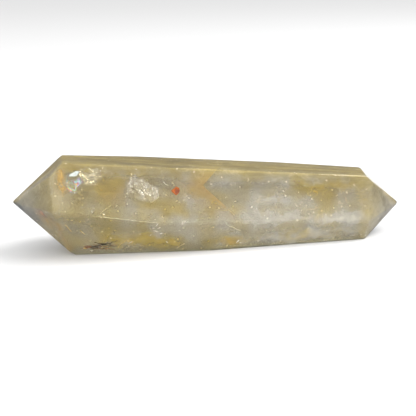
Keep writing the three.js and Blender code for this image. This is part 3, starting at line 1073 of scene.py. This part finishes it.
threads("air_threads", [
    (FRONT, 0.4, 0.3, [(-14.4, 15.7), (-14.6, 14.8), (-15.4, 14.1), (-16.3, 13.6)]),
    (FRONT, 0.4, 0.2, [(-13.1, 18.1), (-12.6, 17.6), (-11.9, 17.1)]),
    (FRONT, 0.5, 0.08, [(-28.8, 12.1), (-27.3, 13.1), (-26.1, 13.9)]),
    (LOW_THICK, 0.4, 0.22, [(-10.5, 0.8), (-9.3, 1.7), (-8.4, 2.4)]),
    (LOW_THIN, 0.4, 0.12, [(1.7, 7.1), (3.5, 6.1), (5.6, 4.8)]),
    (LOW_THIN, 0.4, 0.3, [(4.8, 2.2), (5.6, 1.7), (6.1, 1.2)]),
], air, seed=11)
# A painted highlight: a light thread just under the front edge, where the polished edge shines.
threads("arris_highlight_thread", [
    (FRONT, 0.25, 0.12, [(-30.5, 11.75), (-26.6, 11.05), (-21.9, 10.22), (-17.1, 9.37), (-14.9, 8.98)]),
], air, seed=15, jag=0.03)
threads("dark_threads", [
    (LOW_THICK, 0.25, 0.5, [(-32.9, 2.2), (-31.4, 2.0), (-29.9, 2.4), (-28.2, 2.9), (-26.7, 3.3),
                            (-25.0, 3.9)]),
    (LOW_THICK, 0.25, 0.4, [(-30.6, 3.7), (-29.4, 3.3), (-28.2, 2.9), (-26.7, 2.4), (-25.0, 2.2)]),
    (LOW_THICK, 0.3, 0.8, [(-28.7, 2.8), (-28.1, 2.9), (-27.5, 2.9)]),
    (LOW_THICK, 0.25, 0.4, [(-31.8, 2.0), (-31.0, 1.6), (-30.2, 1.7), (-29.6, 2.0)]),
], manganese, seed=12)
threads("brown_threads", [
    (LOW_THICK, 0.25, 0.35, [(-31.4, 2.3), (-30.2, 1.7), (-28.7, 1.5), (-27.2, 1.6), (-25.6, 1.2)]),
    (LOW_THICK, 0.25, 0.3, [(-30.8, 2.9), (-29.3, 2.5), (-27.9, 2.2), (-26.1, 2.6), (-24.9, 2.9)]),
], iron_brown, seed=14)
threads("gold_threads", [
    (LOW_THICK, 0.2, 0.25, [(-24.8, 1.7), (-24.1, 2.9), (-23.3, 3.5), (-22.6, 4.3)]),
    (LOW_THICK, 0.2, 0.35, [(-22.6, 3.9), (-22.1, 3.3), (-21.4, 2.9), (-21.1, 3.6)]),
    (LOW_THICK, 0.3, 0.3, [(-37.3, 9.2), (-36.6, 8.3), (-35.8, 7.1)]),
    (LOW_THICK, 0.3, 0.22, [(-33.8, 7.5), (-32.9, 6.1)]),
    (LOW_THICK, 0.3, 0.5, [(-33.2, 1.9), (-32.7, 1.8)]),
    (FRONT, 0.8, 0.3, [(-27.5, 20.5), (-26.3, 20.6), (-24.9, 20.6), (-24.3, 21.0)]),
    (FRONT, 0.8, 0.25, [(-29.8, 22.3), (-28.1, 22.5), (-25.7, 22.4), (-23.8, 21.8)]),
    (FRONT, 0.5, 0.2, [(-28.3, 21.1), (-28.0, 20.4), (-27.4, 19.3)]),
], iron_film, seed=13)

# %% [markdown]
# One grain of red iron oxide sits just under the front, 2 mm across. It is a splintery lump, so it is the
# hull of its outline at three depths.

# %% Rust spot
RUST_OUTLINE = [(-11.4, 15.9), (-10.7, 16.3), (-10.1, 16.8), (-9.3, 16.4), (-9.2, 15.8), (-9.6, 15.2),
                (-10.2, 14.8), (-10.7, 15.4)]
RUST_LAYERS = ((0.1, 0.8), (0.2, 1.0), (0.28, 0.9))

middle = sum((Vector(p) for p in RUST_OUTLINE), Vector((0, 0))) / len(RUST_OUTLINE)
lump = []
for depth, size in RUST_LAYERS:
    for corner in RUST_OUTLINE:
        at = middle + (Vector(corner) - middle) * size
        lump.append(under(FRONT, at.x, at.y, depth))
spot = hull_of(lump)
bmesh.ops.recalc_face_normals(spot, faces=spot.faces[:])
finished_piece("rust_spot", spot, iron_oxide, smooth=False)

# %% [markdown]
# The largest glints are each in a known place, so they are listed: x, z and a length in mm, under each flat.
# Each is a small splinter of air, a hull of a few points at random. Some of them show the colours of thin
# air.

# %% Bright flecks
FLECK_DEPTH = 0.2
FLECK_POINTS = 9
FLECK_WIDTH_SHARE = 0.12
FLECK_HALF_THICKNESS = 0.12
WHITE_FLECKS = [
    (FRONT, [(-13.0, 17.9, 0.5), (0.7, 9.6, 0.3), (9.7, 10.5, 0.4), (11.6, 8.7, 0.4), (-15.8, 9.8, 0.6),
             (17.0, 14.0, 0.8), (-8.4, 13.6, 0.3), (-19.6, 21.3, 0.5), (-22.1, 16.0, 0.4),
             (-22.5, 15.3, 0.5), (-15.9, 16.7, 1.1), (-37.0, 13.1, 0.5), (-30.7, 12.6, 0.8),
             (21.0, 13.4, 0.4), (22.8, 14.8, 0.4), (24.4, 8.5, 0.4), (21.2, 9.2, 0.5), (-28.2, 21.5, 0.5),
             (-29.9, 20.9, 0.5)]),
    (LOW_THICK, [(-12.8, 3.0, 1.0), (-15.5, 8.2, 1.2), (-15.7, 6.5, 1.3), (-16.8, 5.4, 0.8),
                 (-14.9, 7.4, 0.9), (-14.4, 5.7, 1.0), (-16.3, 7.4, 0.8), (-28.6, 6.9, 0.5),
                 (-21.7, 3.3, 1.3), (-31.3, 1.1, 0.9), (-39.2, 12.7, 0.4)]),
    (LOW_THIN, [(4.9, 2.1, 1.3), (5.6, 1.6, 0.7)])]
RAINBOW_FLECKS = [
    (FRONT, [(-36.2, 19.3, 0.9), (-36.6, 18.2, 1.2), (-34.7, 19.6, 1.0), (-33.8, 19.4, 0.9),
             (-32.3, 20.1, 0.8), (10.9, 17.0, 0.5), (-36.7, 22.5, 0.4), (-18.8, 20.4, 0.5),
             (-32.9, 13.8, 0.8), (-28.7, 13.0, 0.6), (-28.0, 13.1, 0.5), (20.2, 16.1, 0.7),
             (21.4, 15.9, 0.6), (20.8, 15.0, 0.7), (21.2, 11.2, 0.5), (20.2, 10.4, 0.6),
             (-28.2, 20.9, 0.9)]),
    (LOW_THICK, [(-31.5, 11.2, 0.9)])]


def splinter(flat, x, z, length, rng):
    """A small flat splinter under a flat, turned at random."""
    turn = Matrix.Rotation(rng.uniform(0, math.tau), 3, flat[0])
    centre = under(flat, x, z, FLECK_DEPTH)
    side = turn @ flat[0].orthogonal().normalized()
    other = flat[0].cross(side)
    corners = []
    for _ in range(FLECK_POINTS):
        a, b, c = rng.uniform(-1, 1), rng.uniform(-1, 1), rng.uniform(-1, 1)
        corner = (centre + side * a * length * 0.5 + other * b * length * FLECK_WIDTH_SHARE
                  + flat[0] * c * FLECK_HALF_THICKNESS)
        corners.append(kept_inside(corner))
    return mesh_of("splinter", hull_of(corners))


def flecks(name, places, material, seed):
    """Splinters at their places. They have no rim to thin out at, so that attribute is 1 all over."""
    rng = random.Random(seed)
    bm = bmesh.new()
    for flat, spots in places:
        for x, z, length in spots:
            bm.from_mesh(splinter(flat, x, z, length, rng))
    bmesh.ops.recalc_face_normals(bm, faces=bm.faces[:])
    rim = bm.verts.layers.float.new("rim")
    for vert in bm.verts:
        vert[rim] = 1.0
    finished_piece(name, bm, material, smooth=False)


flecks("white_flecks", WHITE_FLECKS, bright_air, seed=31)
flecks("rainbow_flecks", RAINBOW_FLECKS, iris, seed=32)

# %% [markdown]
# The stone is full of glints: flat air-filled flecks up to 0.4 mm long, thick in some places and thin in
# others. Hundreds of them repeat, so Geometry Nodes scatters them, over three shells that carry a density
# attribute. It is a noise, so that the glints come in drifts, plus the clusters that the eye picks out, each
# fading from its centre.

# %% Glint seedbed
GLINT_DEPTHS = (0.25, 0.7, 1.5)
DRIFT_SIZE = 5
FEWEST_GLINTS, DRIFT_GLINTS, DRIFT_FROM = 0.05, 0.8, 0.15
CLUSTER_FALL = 1.7
CLUSTERS = [((21, -6.5, 12), 3.5, 1.8), ((-30, -10, 13.5), 4.0, 1.0), ((-15.8, -10.3, 6.5), 2.6, 1.6),
            ((5.3, -8.6, 2.0), 1.2, 3.0), ((-16, -8.2, 16.8), 1.6, 2.0), ((-31, -7, 20.5), 3.5, 1.6),
            ((0, 8, 8), 6.0, 0.6), ((30, 4, 12), 4.0, 0.8)]


def glint_density(at):
    """How many glints there are per mm2 at a place."""
    total = FEWEST_GLINTS + DRIFT_GLINTS * max(0.0, noise.noise(at / DRIFT_SIZE) - DRIFT_FROM)
    for centre, reach, strength in CLUSTERS:
        total += strength * math.exp(-((at - Vector(centre)).length / reach * CLUSTER_FALL) ** 2)
    return total


seedbed = bmesh.new()
for depth in GLINT_DEPTHS:
    seedbed.from_mesh(haze_shell(depth))
amount = seedbed.verts.layers.float.new("glint_density")
for vert in seedbed.verts:
    vert[amount] = glint_density(vert.co)
maker = in_scene("glint_maker", mesh_of("seedbed", seedbed))
print(len(maker.data.vertices), "places on the seedbed")

# %% [markdown]
# Each glint is a five-sided fleck, turned and stretched at random. One in five shows the colours of thin
# air, and the others are small mirrors. The turns lean them towards the front flat, so that more of them
# catch the light.

# %% Glints
FLAKE_LENGTH = 0.4
FLAKE_SEED = 4
FLAKE_SIDES = 5
COLOURED_SHARE, COLOURED_SEED = 0.2, 7
LEAST_TURN, MOST_TURN = (0.6, -0.3, -3.14), (1.15, 0.3, 3.14)
LEAST_SIZE, MOST_SIZE = (0.2, 0.15, 1.0), (1.0, 0.5, 1.0)

group = bpy.data.node_groups.new("scatter_glints", "GeometryNodeTree")
group.interface.new_socket("Seedbed", in_out="INPUT", socket_type="NodeSocketGeometry")
length_in = group.interface.new_socket("Flake length", in_out="INPUT", socket_type="NodeSocketFloat")
seed_in = group.interface.new_socket("Seed", in_out="INPUT", socket_type="NodeSocketInt")
group.interface.new_socket("Glints", in_out="OUTPUT", socket_type="NodeSocketGeometry")
given = add_node(group, "NodeGroupInput").outputs
thick = add_node(group, "GeometryNodeInputNamedAttribute", {"Name": "glint_density"}, data_type="FLOAT")
points = add_node(group, "GeometryNodeDistributePointsOnFaces", {
    "Mesh": given["Seedbed"], "Density": thick.outputs["Attribute"], "Seed": given["Seed"]},
    distribute_method="RANDOM")
fleck = add_node(group, "GeometryNodeMeshCircle", {"Vertices": FLAKE_SIDES, "Radius": 0.5}, fill_type="NGON")
flake = add_node(group, "GeometryNodeSetMaterial", {"Geometry": fleck, "Material": mirror})
turns = add_node(group, "FunctionNodeRandomValue", {0: LEAST_TURN, 1: MOST_TURN, "Seed": given["Seed"]},
                 data_type="FLOAT_VECTOR")
sizes = add_node(group, "FunctionNodeRandomValue", {0: LEAST_SIZE, 1: MOST_SIZE, "Seed": given["Seed"]},
                 data_type="FLOAT_VECTOR")
scaled = add_node(group, "ShaderNodeVectorMath", {0: sizes, "Scale": given["Flake length"]},
                  operation="SCALE")
placed = add_node(group, "GeometryNodeInstanceOnPoints", {
    "Points": points, "Instance": flake, "Rotation": turns, "Scale": scaled})
some = add_node(group, "FunctionNodeRandomValue", {"Probability": COLOURED_SHARE, "Seed": COLOURED_SEED},
                data_type="BOOLEAN")
marked = add_node(group, "GeometryNodeStoreNamedAttribute", {
    "Geometry": placed, "Name": "coloured", "Value": some.outputs["Value"]},
    data_type="BOOLEAN", domain="INSTANCE")
real = add_node(group, "GeometryNodeRealizeInstances", {"Geometry": marked})
whole = add_node(group, "GeometryNodeStoreNamedAttribute", {"Geometry": real, "Name": "rim", "Value": 1.0},
                 data_type="FLOAT")
coloured = add_node(group, "GeometryNodeInputNamedAttribute", {"Name": "coloured"}, data_type="BOOLEAN")
finished = add_node(group, "GeometryNodeSetMaterial", {
    "Geometry": whole, "Selection": coloured.outputs["Attribute"], "Material": iris})
add_node(group, "NodeGroupOutput", {"Glints": finished})

scatter = maker.modifiers.new("scatter", "NODES")
scatter.node_group = group
scatter[length_in.identifier] = FLAKE_LENGTH
scatter[seed_in.identifier] = FLAKE_SEED
flakes = result_of(maker)
flakes.materials.pop(index=0)  # the node group leaves an empty first slot
print("flake materials:", [m.name for m in flakes.materials])
glints = bmesh.new()
glints.from_mesh(flakes)
finished_piece("glints", glints, *flakes.materials, smooth=False)

# %% [markdown]
# Light crosses many layers on its way through the stone and back, and the default limits would end its path
# inside and leave dark patches.

# %% Bounces
SEE_THROUGH_LAYERS = 64
BOUNCES = 24

bpy.context.scene.cycles.transparent_max_bounces = SEE_THROUGH_LAYERS
bpy.context.scene.cycles.max_bounces = BOUNCES
bpy.context.scene.cycles.transmission_bounces = BOUNCES
print("layers that light may cross:", SEE_THROUGH_LAYERS)
